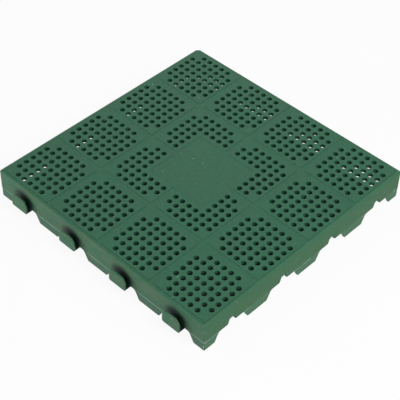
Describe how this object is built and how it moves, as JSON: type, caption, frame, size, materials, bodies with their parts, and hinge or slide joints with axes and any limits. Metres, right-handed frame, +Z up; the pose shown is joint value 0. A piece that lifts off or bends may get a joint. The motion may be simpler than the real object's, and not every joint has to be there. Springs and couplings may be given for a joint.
{
  "type": "plastic drainage tile",
  "caption": "Square perforated floor tile on arched feet, which lets water drain below it and hooks to its neighbours by tabs and slots",
  "frame": {"origin": "on the ground below the middle of the deck, at the foot where the middle ribs cross", "axes": "+Z up; the tabs are on the -X and -Y sides, the slots on the +X and +Y sides"},
  "size_m": [0.4097, 0.4097, 0.048],
  "materials": {
    "tile_plastic": "dark green moulded polypropylene, matte with a faint grain"
  },
  "bodies": {
    "root": {"drainage_tile": "tile_plastic"}
  },
  "joints": []
}
